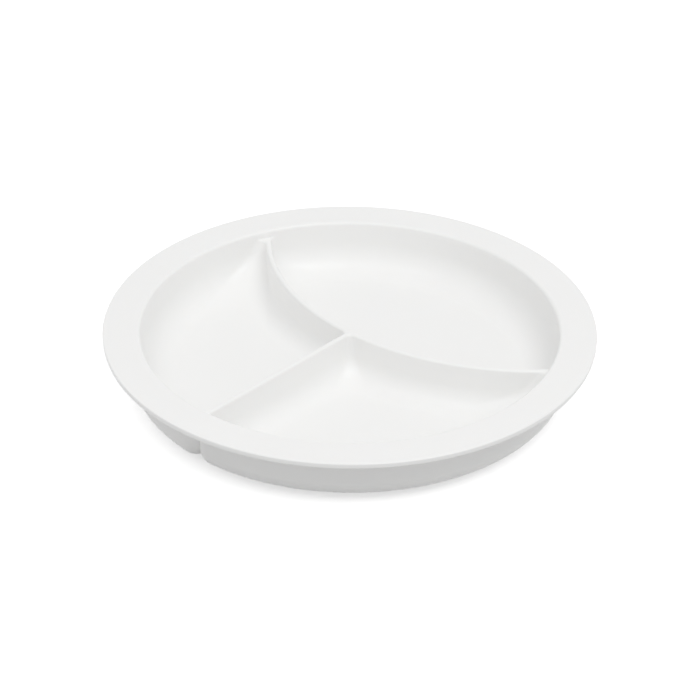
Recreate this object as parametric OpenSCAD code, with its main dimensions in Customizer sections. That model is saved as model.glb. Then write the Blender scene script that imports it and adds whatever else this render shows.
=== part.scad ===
// A divided suction plate for a small child: a one-piece moulded silicone dish with a flat rim,
// a main compartment behind a curved divider, and two side compartments parted by a straight one.
// The straight divider lies along -Y and the main compartment towards +Y. The suction ring stands on z = 0.

/* [Rim] */
// Diameter over the rim
rim_d = 220; // [180:1:260]
// Width of the flat top of the rim
rim_w = 14.75; // [10:0.25:20]
// Thickness of the rim's outer edge
rim_t = 2.5; // [2:0.1:4]
// Round on the rim's outer edge
rim_round = 0.6; // [0.3:0.1:1]
// Round where the rim turns down into the dish
mouth_round = 3.9; // [2:0.1:6]

/* [Dish] */
// Depth from the top of the rim to the floor
dish_depth = 23.6; // [18:0.1:30]
// Height from the underside of the lobes to the top of the rim
dish_h = 26.3; // [22:0.1:34]
// Sweep of the cove between the floor and the walls
cove_r = 11; // [5:0.5:14]
// Thickness of the outer wall
wall_t = 6.85; // [4:0.05:8]
// Round under the lobes, along their outer edge and beside the grooves
lobe_round = 8; // [5:0.5:9]

/* [Dividers] */
// Radius of the curved divider's middle line, which runs through the centre of the plate
arc_r = 119; // [110:1:140]
// Drop of the dividers' tops below the rim
divider_drop = 3.5; // [1:0.1:6]
// Thickness of a divider at its top
divider_t = 3.2; // [2.4:0.1:5]
// Round on the top edges of a divider
divider_round = 0.8; // [0.4:0.1:1.2]
// Draft of the dividers' flanks, in degrees
divider_draft = 2; // [1:0.5:4]
// Half the width of the groove under a divider, at the lobes' underside
groove_half = 6.5; // [4:0.5:7.5]

/* [Suction ring] */
// Height of the ring below the lobes
ring_h = 3; // [2:0.1:4]
// Outer radius of the ring's foot
ring_r = 68; // [50:1:75]
// Width of the ring's foot
ring_foot = 1.4; // [1:0.1:3]
// Width of the ring's root
ring_root = 4; // [3:0.1:6]
// How far the walls over the grooves stand inside the ring's two sides
ring_wall = 0.9; // [0.6:0.1:1.2]

/* [Hidden] */
$fn = 48;
rim_r = rim_d / 2;
inner_r = rim_r - rim_w - mouth_round;
wall_r = inner_r + wall_t;
base_r = wall_r - lobe_round;
z_base = ring_h;
z_top = z_base + dish_h;
z_floor = z_top - dish_depth;
z_divider = z_top - divider_drop;
z_lobe = z_base + lobe_round;
// How far the dividers' coves run into the floor, so that the surfaces cross and don't only touch
cove_sink = 0.1;
// How far the straight divider and its groove lie below the curved ones that they meet
straight_drop = 0.05;
// The same for the rounds beside a groove, for a lobe's corner ball and for the post on it
groove_slack = 0.12;
ball_slack = 0.06;
post_slack = 0.03;
// Room that a cutting solid needs beyond what it cuts
over = 1;
// How far a wall over a groove runs into the lobes and the ridge
bridge_lap = 0.5;
// Height of a groove's ridge line above the lobes' underside
groove_h = lobe_round - sqrt(pow(lobe_round, 2) - pow(groove_half, 2));

// Section of the round dish, without the flat rim
module dish_section() {
  difference() {
    union() {
      translate([0, z_base]) square([base_r, lobe_round]);
      translate([0, z_lobe]) square([wall_r, z_top - z_lobe - rim_t / 2]);
      translate([base_r, z_lobe]) circle(lobe_round);
    }
    translate([0, z_floor]) square([inner_r - cove_r, dish_h]);
    translate([0, z_floor + cove_r]) square([inner_r, dish_h]);
    translate([inner_r - cove_r, z_floor + cove_r]) circle(cove_r);
    translate([-2 * rim_r, 0]) square([2 * rim_r, 2 * dish_h]);
  }
}

// Section of the flat rim, with its rounded edge and the round that turns down into the dish
module rim_section() {
  difference() {
    union() {
      translate([inner_r, z_top - mouth_round]) square([wall_r - inner_r - over, mouth_round]);
      translate([inner_r, z_top - rim_t]) square([rim_r - inner_r - rim_round, rim_t]);
      translate([inner_r, z_top - rim_t + rim_round]) square([rim_r - inner_r, rim_t - 2 * rim_round]);
      for (z = [z_top - rim_t + rim_round, z_top - rim_round])
        translate([rim_r - rim_round, z]) circle(rim_round);
    }
    difference() {
      translate([inner_r - over, z_top - mouth_round]) square(mouth_round + over);
      translate([inner_r + mouth_round, z_top - mouth_round]) circle(mouth_round);
    }
  }
}

// Section of a divider, with a round top, drafted flanks and a cove foot on both sides
module divider_section() {
  half_t = divider_t / 2;
  foot_x = half_t + (z_divider - z_floor - cove_r) * tan(divider_draft) + cove_r / cos(divider_draft);
  cove_x = foot_x - cove_r * cos(divider_draft);
  cove_z = z_floor + cove_r * (1 - sin(divider_draft));
  round_x = half_t + divider_round * (tan(divider_draft) - 1 / cos(divider_draft));
  edge_x = round_x + divider_round * cos(divider_draft);
  edge_z = z_divider - divider_round * (1 - sin(divider_draft));
  difference() {
    union() {
      polygon([
        [-foot_x, z_floor - over], [foot_x, z_floor - over], [foot_x, z_floor], [cove_x, cove_z],
        [edge_x, edge_z], [round_x, z_divider], [-round_x, z_divider], [-edge_x, edge_z],
        [-cove_x, cove_z], [-foot_x, z_floor]
      ]);
      for (side = [-1, 1])
        translate([side * round_x, z_divider - divider_round]) circle(divider_round);
    }
    for (side = [-1, 1])
      translate([side * foot_x, z_floor + cove_r - cove_sink]) circle(cove_r);
  }
}

// Section of the groove that follows a divider under the plate, between two rounded lobes
module groove_section() {
  difference() {
    translate([-groove_half, z_base - over]) square([2 * groove_half, groove_h + over]);
    for (side = [-1, 1])
      translate([side * groove_half, z_lobe]) circle(lobe_round + groove_slack);
  }
}

// A section carried along the straight divider, from the centre towards the front wall
module along_straight(reach) {
  translate([0, 0, -straight_drop]) rotate([90, 0, 0]) linear_extrude(reach) children();
}

// A section carried along the curved divider, and cut off squarely at both ends
module along_arc(reach) {
  sweep = 100;
  end_angle = asin(reach / 2 / arc_r);
  difference() {
    translate([0, arc_r, 0]) rotate([0, 0, -90 - sweep / 2])
      rotate_extrude(angle = sweep) translate([arc_r, 0]) children();
    for (s = [0, 1])
      mirror([s, 0, 0]) rotate([0, 0, end_angle]) translate([reach, -rim_r, -over])
        cube([rim_r, 2 * rim_r, 2 * dish_h]);
  }
}

// The rounded end of a lobe at a divider: a ball with a post on it
module lobe_corner(place) {
  translate([place[0], place[1], z_lobe]) {
    sphere(lobe_round + ball_slack);
    cylinder(h = dish_h, r = lobe_round + post_slack);
  }
}

// The valley in the outer wall between two lobes, whose end centres are a and b
module valley(a, b) {
  out = rim_r / base_r;
  difference() {
    translate([0, 0, z_base - over]) linear_extrude(dish_h + over - rim_t / 2)
      polygon([a, b, out * b, out * a]);
    lobe_corner(a);
    lobe_corner(b);
  }
}

// Point where a circle about the curved divider's centre meets the circle of the lobes' end centres
function arc_corner(r) =
  let (y = (pow(base_r, 2) + pow(arc_r, 2) - pow(r, 2)) / (2 * arc_r))
  [sqrt(pow(base_r, 2) - pow(y, 2)), y];

module dividers() {
  along_straight(inner_r + over) divider_section();
  along_arc(inner_r + over) divider_section();
}

module grooves() {
  along_straight(rim_r) groove_section();
  along_arc(wall_r + over) groove_section();
}

module valleys() {
  front_y = -sqrt(pow(base_r, 2) - pow(groove_half, 2));
  valley([-groove_half, front_y], [groove_half, front_y]);
  for (s = [0, 1])
    mirror([s, 0, 0]) valley(arc_corner(arc_r + groove_half), arc_corner(arc_r - groove_half));
}

// A wall that closes a groove over the suction ring, along -Y
module ring_bridge() {
  half_w = groove_half + bridge_lap;
  translate([-half_w, ring_wall - ring_r, ring_h + over / 4])
    cube([2 * half_w, ring_root - 2 * ring_wall, groove_h + bridge_lap - over / 4]);
}

// The thin ring that seals on the table, with a wall across each groove
module suction_ring() {
  arc_turn = 90 + asin((ring_r - ring_root / 2) / 2 / arc_r);
  rotate_extrude() polygon([
    [ring_r - ring_foot, 0], [ring_r, 0],
    [ring_r, ring_h + over], [ring_r - ring_root, ring_h + over]
  ]);
  for (turn = [0, arc_turn, -arc_turn]) rotate([0, 0, turn]) ring_bridge();
}

module plate() {
  color("white") {
    difference() {
      union() {
        rotate_extrude() dish_section();
        dividers();
      }
      grooves();
      valleys();
    }
    rotate_extrude() rim_section();
    suction_ring();
  }
}

plate();
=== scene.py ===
# %% [markdown]
# This scene dresses a divided suction plate: one piece of white silicone, moulded in one shot.
# The measured part comes in first and stays where it is, because every size below is read from it
# or set against it. All lengths are in metres.

# %% Load the measured part
from math import asin, atan2, cos, pi, radians, sin, sqrt, tan

import bmesh
import bpy
from mathutils import Matrix, Vector


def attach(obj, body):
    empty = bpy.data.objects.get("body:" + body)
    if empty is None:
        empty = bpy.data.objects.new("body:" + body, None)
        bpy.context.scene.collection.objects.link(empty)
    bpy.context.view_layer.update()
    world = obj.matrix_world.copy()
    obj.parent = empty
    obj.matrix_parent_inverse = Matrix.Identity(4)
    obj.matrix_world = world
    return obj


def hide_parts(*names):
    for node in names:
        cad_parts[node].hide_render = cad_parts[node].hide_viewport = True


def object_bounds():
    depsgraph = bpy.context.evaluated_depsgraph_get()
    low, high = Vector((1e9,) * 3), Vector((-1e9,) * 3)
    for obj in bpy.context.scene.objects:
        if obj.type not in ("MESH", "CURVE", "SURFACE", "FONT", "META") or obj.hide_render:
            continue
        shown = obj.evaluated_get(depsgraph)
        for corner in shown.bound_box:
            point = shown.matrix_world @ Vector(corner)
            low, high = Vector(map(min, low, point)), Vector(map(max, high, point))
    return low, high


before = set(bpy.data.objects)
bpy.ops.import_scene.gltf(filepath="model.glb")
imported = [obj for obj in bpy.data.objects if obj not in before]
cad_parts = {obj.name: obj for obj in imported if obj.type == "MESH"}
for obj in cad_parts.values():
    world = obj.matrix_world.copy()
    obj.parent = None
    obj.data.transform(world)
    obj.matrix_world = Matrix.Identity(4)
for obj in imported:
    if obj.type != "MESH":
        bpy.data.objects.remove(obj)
cad_box = [list(corner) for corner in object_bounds()]
MM = 0.001
print("measured box", cad_box)

# %% [markdown]
# A moulded dish is governed by a few lengths: the rim, the wall, the floor, the sweep that joins
# them, and the two dividers. They are named once here. The rim's radius and the height come from
# the measured box. The floor, the lobes, the ring and the dividers' courses are as the part was
# drawn. The mouth's small round, the wall's draft, the two coves and the slim, round-topped
# dividers are finer than in the part, and are set by the light and shade in the photograph.

# %% Name the driving sizes
rim_r = (cad_box[1][0] - cad_box[0][0]) / 2
z_top = cad_box[1][2]
rim_w = 14.75 * MM
rim_t = 2.5 * MM
rim_round = 0.6 * MM
mouth_round = 1.5 * MM
# The wall's top, reckoned inwards from the inner edge that the part's flat rim has
mouth_step = 1.95 * MM
mouth_r = rim_r - rim_w - mouth_step
wall_draft = radians(4)
lobe_r = 98.2 * MM
lobe_round = 8 * MM
base_r = lobe_r - lobe_round
z_base = 3 * MM
dish_depth = 23.6 * MM
z_floor = z_top - dish_depth
wall_cove = 14 * MM
divider_cove = 10 * MM
arc_r = 119 * MM
divider_drop = 3.5 * MM
z_divider = z_top - divider_drop
divider_t = 2.4 * MM
divider_round = 1.1 * MM
divider_draft = radians(2)
groove_half = 6.5 * MM
ring_r = 68 * MM
ring_foot = 1.4 * MM
ring_root = 4 * MM
ring_wall = 0.9 * MM
# How far the ring and the walls over the grooves run into the lobes
ring_lap = 1 * MM
bridge_lap = 0.5 * MM
# How far a form that only cuts goes past what it cuts
OVER = 2 * MM
print("rim radius", rim_r, "mouth radius", mouth_r, "floor at", z_floor)

# %% [markdown]
# Food-grade silicone is milky, soft to the touch and a little glossy where it is smooth. Light goes
# a short way into it and comes out again, which softens the shade in the corners. A Principled
# shader does this with a small subsurface depth. A wide, faint noise gives the cloudiness of the
# milky rubber and the uneven satin of the mould, and a fine one gives its texture.

# %% The silicone
CLOUD_SIZE = 35.7 * MM
GRAIN_SIZE = MM / 3
GRAIN_DEPTH = 0.02 * MM
LIGHT_DEPTH = 2 * MM


def linear(code):
    """A colour written as sRGB hex, as the shader's linear values."""
    values = [int(code[i:i + 2], 16) / 255 for i in (1, 3, 5)]
    return [v / 12.92 if v <= 0.04045 else ((v + 0.055) / 1.055) ** 2.4 for v in values] + [1.0]


def feed(node, inputs):
    """Gives each input its value or, where the value is another node's output, a link to it."""
    for name, value in inputs.items():
        if isinstance(value, bpy.types.NodeSocket):
            node.id_data.links.new(value, node.inputs[name])
        else:
            node.inputs[name].default_value = value
    return node


def add_node(tree, kind, inputs=None, settings=None):
    """Adds a node with its settings, and then its values and links."""
    node = tree.nodes.new(kind)
    for name, value in (settings or {}).items():
        setattr(node, name, value)
    return feed(node, inputs or {})


def silicone():
    material = bpy.data.materials.new("white_moulded_silicone")
    material.use_nodes = True
    tree = material.node_tree
    place = add_node(tree, "ShaderNodeTexCoord").outputs["Object"]
    cloud = add_node(tree, "ShaderNodeTexNoise", {
        "Vector": place, "Scale": 1 / CLOUD_SIZE, "Detail": 3.0, "Roughness": 0.5}).outputs["Fac"]
    tint = add_node(tree, "ShaderNodeMix", {
        "Factor": cloud, "A": linear("#F8F8F7"), "B": linear("#FBFBFA")}, {"data_type": "RGBA"})
    gloss = add_node(tree, "ShaderNodeMapRange", {"Value": cloud, "To Min": 0.30, "To Max": 0.36})
    grain = add_node(tree, "ShaderNodeTexNoise", {
        "Vector": place, "Scale": 1 / GRAIN_SIZE, "Detail": 2.0, "Roughness": 0.6})
    bump = add_node(tree, "ShaderNodeBump", {
        "Height": grain.outputs["Fac"], "Strength": 0.05, "Distance": GRAIN_DEPTH})
    feed(tree.nodes["Principled BSDF"], {
        "Base Color": tint.outputs["Result"], "Roughness": gloss.outputs["Result"],
        "Normal": bump.outputs["Normal"], "IOR": 1.41, "Subsurface Weight": 0.15,
        "Subsurface Radius": (1.0, 0.95, 0.9), "Subsurface Scale": LIGHT_DEPTH})
    return material


SILICONE = silicone()
print("material", SILICONE.name)

# %% [markdown]
# The rim and the ring below are turned forms: one section carried round the middle. A short
# Geometry Nodes tree does that for both. It turns the section's edges into a curve, sweeps the
# curve along a circle, and gives the result its material, so only the section has to be drawn.

# %% Geometry Nodes: carry a section round a circle
# The circle that a section is swept along. Any radius inside the plate gives the same form
TURN_RADIUS = 10 * MM
TURN_STEPS = 240


def turning_tree():
    tree = bpy.data.node_groups.new("turned_form", "GeometryNodeTree")
    face = tree.interface
    face.new_socket("Section", in_out="INPUT", socket_type="NodeSocketGeometry")
    for name, kind, value in (("Turning radius", "NodeSocketFloat", TURN_RADIUS),
                              ("Steps", "NodeSocketInt", TURN_STEPS)):
        face.new_socket(name, in_out="INPUT", socket_type=kind).default_value = value
    face.new_socket("Finish", in_out="INPUT", socket_type="NodeSocketMaterial")
    face.new_socket("Form", in_out="OUTPUT", socket_type="NodeSocketGeometry")

    given = add_node(tree, "NodeGroupInput").outputs
    section = add_node(tree, "GeometryNodeMeshToCurve", {"Mesh": given["Section"]})
    path = add_node(tree, "GeometryNodeCurvePrimitiveCircle", {
        "Radius": given["Turning radius"], "Resolution": given["Steps"]})
    sweep = add_node(tree, "GeometryNodeCurveToMesh", {
        "Curve": path.outputs["Curve"], "Profile Curve": section.outputs["Curve"]})
    real = add_node(tree, "GeometryNodeRealizeInstances", {"Geometry": sweep.outputs["Mesh"]})
    finish = add_node(tree, "GeometryNodeSetMaterial", {
        "Geometry": real.outputs["Geometry"], "Material": given["Finish"]})
    add_node(tree, "NodeGroupOutput", {"Form": finish.outputs["Geometry"]})
    return tree


TURNED = turning_tree()
print("turned form has", len(TURNED.nodes), "nodes")

# %% [markdown]
# A section is a closed list of (radius, height) points. What the tree makes of it is put in the
# mesh's place, its doubles are merged and its faces are turned outwards. The form is then closed
# and plain, as a boolean needs it.

# %% Turn a section into a plain form
MERGE_REACH = 0.002 * MM
LEAST_EDGE = 0.001 * MM


def new_object(name, data):
    obj = bpy.data.objects.new(name, data)
    bpy.context.collection.objects.link(obj)
    return obj


def plain_mesh(obj):
    """Puts what the modifiers make in the mesh's place, and removes them."""
    ready = obj.evaluated_get(bpy.context.evaluated_depsgraph_get())
    mesh = bpy.data.meshes.new_from_object(ready)
    obj.modifiers.clear()
    obj.data = mesh


def outward(mesh):
    """Merges doubles and turns all faces outwards."""
    form = bmesh.new()
    form.from_mesh(mesh)
    bmesh.ops.remove_doubles(form, verts=form.verts, dist=MERGE_REACH)
    bmesh.ops.dissolve_degenerate(form, dist=LEAST_EDGE, edges=form.edges)
    bmesh.ops.recalc_face_normals(form, faces=form.faces)
    if form.calc_volume(signed=True) < 0:
        bmesh.ops.reverse_faces(form, faces=form.faces)
    form.to_mesh(mesh)
    form.free()


def turned(name, section):
    """A closed form from a section of (radius, height) points, carried round the plate's middle."""
    count = len(section)
    mesh = bpy.data.meshes.new(name)
    mesh.from_pydata([(r - TURN_RADIUS, -z, 0) for r, z in section],
                     [(i, (i + 1) % count) for i in range(count)], [])
    obj = new_object(name, mesh)
    turn = obj.modifiers.new("turn", "NODES")
    turn.node_group = TURNED
    sockets = {item.name: item.identifier for item in TURNED.interface.items_tree
               if item.in_out == "INPUT"}
    turn[sockets["Turning radius"]] = TURN_RADIUS
    turn[sockets["Steps"]] = TURN_STEPS
    turn[sockets["Finish"]] = SILICONE
    plain_mesh(obj)
    outward(obj.data)
    return obj


print("a section is turned in", TURN_STEPS, "steps about a circle of", TURN_RADIUS)

# %% [markdown]
# The dish's three pockets and the three lobes under it are alike: each is a flat outline that
# changes evenly from level to level. An outline here is a few arcs joined by rounded corners, so
# one function gives the main shape's outline and one gives the side shape's, for any wall radius,
# divider offset and corner radius. Round stretches come from one helper, so that an edge is a true
# arc and never a row of typed numbers.

# %% Outlines of the compartments
WALL_STEPS, DIVIDER_STEPS, CORNER_STEPS, FLANK_STEPS = 72, 40, 10, 8
# The plate's middle, and the centre of the curved divider's bow behind it
MIDDLE, BOW = (0.0, 0.0), (0.0, arc_r)


def arc_points(centre, radius, start, end, steps):
    """Points of an arc about a centre, from one angle to another, in radians."""
    turns = [start + (end - start) * i / steps for i in range(steps + 1)]
    return [(centre[0] + radius * cos(turn), centre[1] + radius * sin(turn)) for turn in turns]


def angle_to(centre, point):
    return atan2(point[1] - centre[1], point[0] - centre[0])


def where_circles_meet(wall, bow):
    """The right-hand point at these distances from the plate's middle and the bow's centre."""
    y = (wall ** 2 + arc_r ** 2 - bow ** 2) / (2 * arc_r)
    return sqrt(wall ** 2 - y ** 2), y


def main_outline(wall, bow, corner):
    """Behind the curved divider: inside both circles, with a rounded corner at each side."""
    right = where_circles_meet(wall - corner, bow - corner)
    left = (-right[0], right[1])
    on_wall = angle_to(MIDDLE, right)
    on_bow = angle_to(BOW, right)
    points = arc_points(MIDDLE, wall, on_wall, pi - on_wall, WALL_STEPS)
    points += arc_points(left, corner, pi - on_wall, pi - on_bow, CORNER_STEPS)
    points += arc_points(BOW, bow, -pi - on_bow, on_bow, DIVIDER_STEPS)
    points += arc_points(right, corner, on_bow, on_wall, CORNER_STEPS)
    return points


def side_outline(wall, bow, flank, corner, mid_corner):
    """In front of the curved divider and right of the straight one, whose flank is at this x."""
    outer = where_circles_meet(wall - corner, bow + corner)
    front_x = flank + corner
    front = (front_x, -sqrt((wall - corner) ** 2 - front_x ** 2))
    mid_x = flank + mid_corner
    mid = (mid_x, arc_r - sqrt((bow + mid_corner) ** 2 - mid_x ** 2))
    to_outer, to_front = angle_to(MIDDLE, outer), angle_to(MIDDLE, front)
    points = arc_points(MIDDLE, wall, to_front, to_outer, WALL_STEPS)
    points += arc_points(outer, corner, to_outer, angle_to(outer, BOW), CORNER_STEPS)
    points += arc_points(BOW, bow, angle_to(BOW, outer), angle_to(BOW, mid), DIVIDER_STEPS)
    points += arc_points(mid, mid_corner, angle_to(mid, BOW), pi, CORNER_STEPS)
    points += [(flank, mid[1] + (front[1] - mid[1]) * i / FLANK_STEPS) for i in range(1, FLANK_STEPS)]
    points += arc_points(front, corner, pi, 2 * pi + to_front, CORNER_STEPS)
    return points


print("curved divider's ends at x", where_circles_meet(mouth_r, arc_r)[0])

# %% [markdown]
# Going up a pocket from its floor, the wall and the dividers sweep out of the floor in coves and
# then rise with their drafts. At the dividers' tops the pocket widens again, over their rounds. Each
# step holds the height, the wall's radius, a divider's half thickness and the share of the way up.

# %% Levels of a pocket
COVE_STEPS, ROUND_STEPS = 20, 8
# How far a pocket stays inside the mouth's wall above it, so that the two surfaces never coincide
WALL_LEDGE = 0.02 * MM


def wall_at(height):
    """The wall's radius: it stands in a little towards the floor, and sweeps into it."""
    foot = mouth_r - (z_top - mouth_round - z_floor) * tan(wall_draft)
    rise = height - z_floor
    if rise < wall_cove * (1 - sin(wall_draft)):
        cove_middle = foot + wall_cove * (tan(wall_draft) - 1 / cos(wall_draft))
        return cove_middle + sqrt(max(wall_cove ** 2 - (wall_cove - rise) ** 2, 0))
    return foot + rise * tan(wall_draft)


def divider_half_at(height):
    """The divider's half thickness, which grows towards the floor in the same way."""
    foot = divider_t / 2 + (z_divider - z_floor) * tan(divider_draft)
    rise = height - z_floor
    if rise < divider_cove * (1 - sin(divider_draft)):
        cove_middle = foot - divider_cove * (tan(divider_draft) - 1 / cos(divider_draft))
        return cove_middle - sqrt(max(divider_cove ** 2 - (divider_cove - rise) ** 2, 0))
    return foot - rise * tan(divider_draft)


def pocket_steps():
    """(height, wall radius, divider half thickness, 0 to 1 from floor to divider top)"""
    steps = []
    for i in range(COVE_STEPS + 1):
        height = z_floor + wall_cove * (1 - cos(pi / 2 * i / COVE_STEPS))
        steps.append((height, divider_half_at(height)))
    round_x = divider_t / 2 + divider_round * (tan(divider_draft) - 1 / cos(divider_draft))
    for i in range(ROUND_STEPS + 1):
        turn = divider_draft + (pi / 2 - divider_draft) * i / ROUND_STEPS
        height = z_divider - divider_round * (1 - sin(turn))
        steps.append((height, round_x + divider_round * cos(turn)))
    return [(height, wall_at(height) - WALL_LEDGE, half, (height - z_floor) / (z_divider - z_floor))
            for height, half in steps]


POCKET_STEPS = pocket_steps()
print("a pocket has", len(POCKET_STEPS), "levels, from", POCKET_STEPS[0][0], "to", POCKET_STEPS[-1][0])

# %% [markdown]
# A pocket is the space that a compartment takes out of the plate. It is skinned over its outlines:
# each level's points are joined to the next level's by four-sided faces, which gives long, clean
# strips, and the lowest and the highest outline close it. Its corners are wide at the floor and
# tighten on the way up. The left-hand pocket is the right-hand one mirrored.

# %% Skin the pockets
# Corner radii at the floor and at the dividers' tops: where the dividers meet, and at the wall
MID_CORNER, WALL_CORNER = (9 * MM, 2.6 * MM), (18 * MM, 3.5 * MM)
# Above 1, a corner tightens most near the floor and little near the top
CORNER_FALL = 1.5


def skin(name, levels):
    """A closed form over outlines with the same number of points, from the lowest up."""
    count = len(levels[0][1])
    verts = [(x, y, z) for z, outline in levels for x, y in outline]
    faces = [(a * count + i, a * count + (i + 1) % count,
              (a + 1) * count + (i + 1) % count, (a + 1) * count + i)
             for a in range(len(levels) - 1) for i in range(count)]
    faces.append(tuple(reversed(range(count))))
    faces.append(tuple(range(len(verts) - count, len(verts))))
    mesh = bpy.data.meshes.new(name)
    mesh.from_pydata(verts, [], faces)
    outward(mesh)
    return new_object(name, mesh)


def mirrored(name, obj):
    """The same form on the other side of the straight divider."""
    twin = new_object(name, obj.data.copy())
    twin.data.transform(Matrix.Scale(-1, 4, Vector((1, 0, 0))))
    outward(twin.data)
    return twin


def corner_at(share, corner):
    """The corner's radius at this share of the way up."""
    low, high = corner
    return high + (low - high) * (1 - share) ** CORNER_FALL


def pocket_levels(outline):
    """A pocket's outlines from the floor to the dividers' tops, and the last one again above them."""
    levels = [(z, outline(wall, half, corner_at(share, WALL_CORNER), corner_at(share, MID_CORNER)))
              for z, wall, half, share in POCKET_STEPS]
    z, top_outline = levels[-1]
    return levels + [(z + OVER, top_outline)]


pocket_main = skin("pocket_main", pocket_levels(
    lambda wall, half, corner, mid: main_outline(wall, arc_r - half, corner)))
pocket_right = skin("pocket_right", pocket_levels(
    lambda wall, half, corner, mid: side_outline(wall, arc_r + half, half, corner, mid)))
pocket_left = mirrored("pocket_left", pocket_right)
print("pocket points", len(pocket_main.data.vertices), len(pocket_right.data.vertices))

# %% [markdown]
# Under the plate each compartment shows as a lobe: flat below, with a generous round along its
# edge. The same outlines give them, taken outwards level by level. Where two lobes meet, their
# rounds leave the groove and, at the outer wall, the valley that the photograph shows.

# %% Levels of a lobe
LOBE_STEPS = 14
# The corner radius at the lobe's flat underside, which must not shrink to a point
LEAST_ROUND = 0.04 * MM


def lobe_levels(outline):
    """A lobe's outlines from its flat underside, up round its edge, and straight up into the rim."""
    levels = []
    for i in range(LOBE_STEPS + 1):
        turn = pi / 2 * i / LOBE_STEPS
        spread = max(lobe_round * sin(turn), LEAST_ROUND)
        levels.append((z_base + lobe_round * (1 - cos(turn)), outline(spread)))
    return levels + [(z_top - rim_t / 2, outline(lobe_round))]


lobe_main = skin("lobe_main", lobe_levels(
    lambda out: main_outline(base_r + out, arc_r - groove_half + out, out)))
lobe_right = skin("lobe_right", lobe_levels(
    lambda out: side_outline(base_r + out, arc_r + groove_half - out, groove_half - out, out, out)))
lobe_left = mirrored("lobe_left", lobe_right)
print("lobe points", len(lobe_main.data.vertices))

# %% [markdown]
# The rim is a flat disk at first, and the mouth is what is turned out of it: a slanted wall from
# the dividers' tops up, and the small round that leads to the flat rim. The ring is a low band that
# widens towards the lobes. A small wall carries it across each of the three grooves.

# %% Sections of the rim, the mouth and the ring
EDGE_STEPS, MOUTH_STEPS = 6, 10
edge_middle = rim_r - rim_round
rim_section = ([(0, z_top - rim_t)]
               + arc_points((edge_middle, z_top - rim_t + rim_round), rim_round, -pi / 2, 0, EDGE_STEPS)
               + arc_points((edge_middle, z_top - rim_round), rim_round, 0, pi / 2, EDGE_STEPS)
               + [(0, z_top)])
mouth_middle = mouth_r + mouth_round / cos(wall_draft)
mouth_section = ([(0, z_divider), (wall_at(z_divider), z_divider)]
                 + arc_points((mouth_middle, z_top - mouth_round), mouth_round,
                              pi - wall_draft, pi / 2, MOUTH_STEPS)
                 + [(mouth_middle, z_top + OVER), (0, z_top + OVER)])
ring_section = [(ring_r - ring_foot, 0), (ring_r, 0), (ring_r, z_base + ring_lap),
                (ring_r - ring_root, z_base + ring_lap)]


def ring_bridge(turn):
    """The wall that carries the ring across one groove, at this turn from the front."""
    half = groove_half + bridge_lap
    groove_h = lobe_round - sqrt(lobe_round ** 2 - groove_half ** 2)
    near, far = ring_wall - ring_r, ring_root - ring_wall - ring_r
    points = [(x * cos(turn) - y * sin(turn), x * sin(turn) + y * cos(turn))
              for x, y in ((-half, near), (half, near), (half, far), (-half, far))]
    return skin("ring_bridge", [(z_base + bridge_lap / 2, points),
                                (z_base + groove_h + bridge_lap, points)])


print("section points", len(rim_section), len(mouth_section), len(ring_section))

# %% [markdown]
# The plate is put together as it is moulded. The lobes and the rim give the solid body, the mouth
# and the three pockets are taken out of it, and the suction ring is added. Every form is closed,
# so exact booleans can do it, and the faces along each arc stay long and even.

# %% Put the plate together


def combine(target, tool, operation):
    """Adds a closed form to the target or takes it out, and removes it from the scene."""
    step = target.modifiers.new("combine", "BOOLEAN")
    step.solver = "MANIFOLD"
    step.operation = operation
    step.object = tool
    plain_mesh(target)
    bpy.data.objects.remove(tool)


plate = turned("silicone_plate", rim_section)
for lobe in (lobe_main, lobe_right, lobe_left):
    combine(plate, lobe, "UNION")
combine(plate, turned("mouth", mouth_section), "DIFFERENCE")
for pocket in (pocket_main, pocket_right, pocket_left):
    combine(plate, pocket, "DIFFERENCE")
combine(plate, turned("suction_ring", ring_section), "UNION")
arc_turn = pi / 2 + asin((ring_r - ring_root / 2) / 2 / arc_r)
for turn in (0, arc_turn, -arc_turn):
    combine(plate, ring_bridge(turn), "UNION")
print("plate has", len(plate.data.polygons), "faces")

# %% [markdown]
# Smooth shading is cut at real creases only: the ends of the dividers, the edges of the ring and
# the lines where two lobes meet. A weighted normal keeps the flat rim and floor flat.

# %% Shade the plate
CREASE = radians(32)
# Over 50, a large face counts for more in the normals beside it
LARGE_FACE_WEIGHT = 70


def shade(obj):
    mesh = obj.data
    mesh.materials.clear()
    mesh.materials.append(SILICONE)
    mesh.polygons.foreach_set("material_index", [0] * len(mesh.polygons))
    mesh.shade_smooth()
    mesh.set_sharp_from_angle(angle=CREASE)
    weigh = obj.modifiers.new("weigh", "WEIGHTED_NORMAL")
    weigh.keep_sharp = True
    weigh.weight = LARGE_FACE_WEIGHT
    plain_mesh(obj)


shade(plate)
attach(plate, "root")
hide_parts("plate")
print("plate's material", plate.data.materials[0].name)

# %% [markdown]
# The photograph was taken with a long lens from a little over thirty degrees up. The place, the
# turn and the lens below are the ones that lay the rim's two ellipses and the dividers on the
# picture.

# %% The camera
CAM_TURN, CAM_RISE, CAM_ROLL = radians(42.2), radians(31.3676), radians(0.4931)
CAM_DISTANCE = 1.17926
SENSOR_WIDTH = 36
PICTURE = 700
PIXELS_PER_METRE = 2243.01
RIM_CENTRE_PIXEL = (349.897, 324.782)


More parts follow.
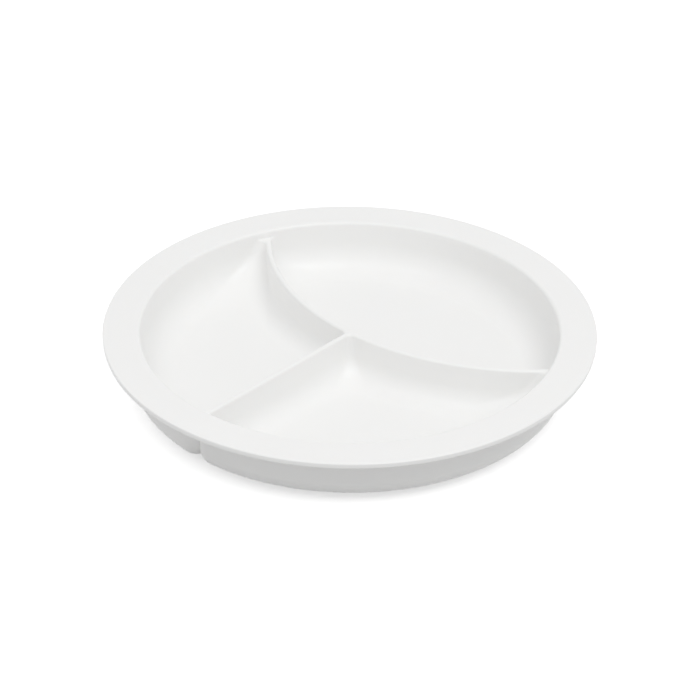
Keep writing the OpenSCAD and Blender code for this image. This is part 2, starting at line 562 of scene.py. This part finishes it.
def photo_camera():
    data = bpy.data.cameras.new("photo_camera")
    data.sensor_width = SENSOR_WIDTH
    data.lens = SENSOR_WIDTH * PIXELS_PER_METRE * CAM_DISTANCE / PICTURE
    data.shift_x = (PICTURE / 2 - RIM_CENTRE_PIXEL[0]) / PICTURE
    data.shift_y = (RIM_CENTRE_PIXEL[1] - PICTURE / 2) / PICTURE
    camera = new_object("photo_camera", data)
    away = Vector((sin(CAM_TURN) * cos(CAM_RISE), -cos(CAM_TURN) * cos(CAM_RISE), sin(CAM_RISE)))
    camera.location = Vector((0, 0, z_top)) + away * CAM_DISTANCE
    turn = away.to_track_quat("Z", "Y").to_matrix() @ Matrix.Rotation(CAM_ROLL, 3, "Z")
    camera.rotation_euler = turn.to_euler()
    return camera


bpy.context.scene.camera = photo_camera()
print("lens", bpy.context.scene.camera.data.lens)

# %% [markdown]
# The picture is a shop picture: a white surround and soft light from above. A pale floor catches a
# light shade, and is greyer for the light that it throws up under the rim than where it is looked
# at. The same question, whether a ray belongs to the view or to the light, also makes the surround
# pure white to the eye and weaker as a light.

# %% The floor
WHITE, FLOOR_GREY = "#FFFFFF", "#C8C8C8"
FLOOR_HALF = 3.0
# The floor lies a hair below the ring, so that the two surfaces never coincide
FLOOR_GAP = 0.02 * MM
# The glow that lifts the floor to white where it is looked at
FLOOR_LIFT = 0.50


def looked_at(tree):
    """1 for what the camera sees, also in a reflection or through something clear, and 0 for light."""
    path = add_node(tree, "ShaderNodeLightPath").outputs
    value = path["Is Camera Ray"]
    for name in ("Is Glossy Ray", "Is Transmission Ray"):
        either = add_node(tree, "ShaderNodeMath", {0: value, 1: path[name]}, {"operation": "MAXIMUM"})
        value = either.outputs[0]
    return value


def floor():
    material = bpy.data.materials.new("pale_floor")
    material.use_nodes = True
    tree = material.node_tree
    tree.nodes.remove(tree.nodes["Principled BSDF"])
    plain = add_node(tree, "ShaderNodeBsdfDiffuse", {"Color": linear(FLOOR_GREY)})
    bright = add_node(tree, "ShaderNodeBsdfDiffuse", {"Color": linear(WHITE)})
    lift = add_node(tree, "ShaderNodeEmission", {"Color": linear(WHITE), "Strength": FLOOR_LIFT})
    seen = add_node(tree, "ShaderNodeAddShader", {0: bright.outputs[0], 1: lift.outputs[0]})
    mix = add_node(tree, "ShaderNodeMixShader", {
        0: looked_at(tree), 1: plain.outputs[0], 2: seen.outputs[0]})
    feed(tree.nodes["Material Output"], {"Surface": mix.outputs[0]})
    mesh = bpy.data.meshes.new("floor")
    mesh.from_pydata([(-FLOOR_HALF, -FLOOR_HALF, 0), (FLOOR_HALF, -FLOOR_HALF, 0),
                      (FLOOR_HALF, FLOOR_HALF, 0), (-FLOOR_HALF, FLOOR_HALF, 0)], [], [(0, 1, 2, 3)])
    mesh.materials.append(material)
    ground = new_object("floor", mesh)
    ground.location.z = -FLOOR_GAP


floor()
print("floor of", 2 * FLOOR_HALF, "metres")

# %% [markdown]
# Two wide lamps stand high on both sides of the camera, and the right-hand one is three times as
# strong, so that each divider has a lighter and a darker face. The surround gives the rest. Their
# shares were fitted to the tones of the rim, the floor and the divider faces in the photograph.

# %% Lamps and surround
SKY = 0.64
# Each lamp's turn from the camera's direction to its right, its rise, its width and its power
LAMPS = (("key_lamp", 40, 62, 1.8, 24.6), ("fill_lamp", -40, 62, 1.8, 8.2))
LAMP_DISTANCE = 3.2


def seen_from(turn, rise, distance):
    """A place at this turn from the camera's own direction, to its right, and at this rise."""
    side = CAM_TURN + radians(turn)
    return (distance * sin(side) * cos(radians(rise)), -distance * cos(side) * cos(radians(rise)),
            distance * sin(radians(rise)))


def lamp(name, place, size, power):
    """A round soft lamp that faces the dish's floor."""
    data = bpy.data.lights.new(name, "AREA")
    data.shape = "DISK"
    data.size = size
    data.energy = power
    obj = new_object(name, data)
    obj.location = place
    obj.rotation_euler = (Vector(place) - Vector((0, 0, z_floor))).to_track_quat("Z", "Y").to_euler()


def surround(strength):
    world = bpy.data.worlds.new("surround")
    world.use_nodes = True
    tree = world.node_tree
    light = feed(tree.nodes["Background"], {"Strength": strength, "Color": linear(WHITE)})
    white = add_node(tree, "ShaderNodeBackground", {"Strength": 1.0, "Color": linear(WHITE)})
    mix = add_node(tree, "ShaderNodeMixShader", {
        0: looked_at(tree), 1: light.outputs[0], 2: white.outputs[0]})
    feed(tree.nodes["World Output"], {"Surface": mix.outputs[0]})
    bpy.context.scene.world = world


for name, turn, rise, width, power in LAMPS:
    lamp(name, seen_from(turn, rise, LAMP_DISTANCE), width, power)
    print(name, "of", power, "watts")
surround(SKY)
bpy.context.scene.view_settings.view_transform = "Standard"
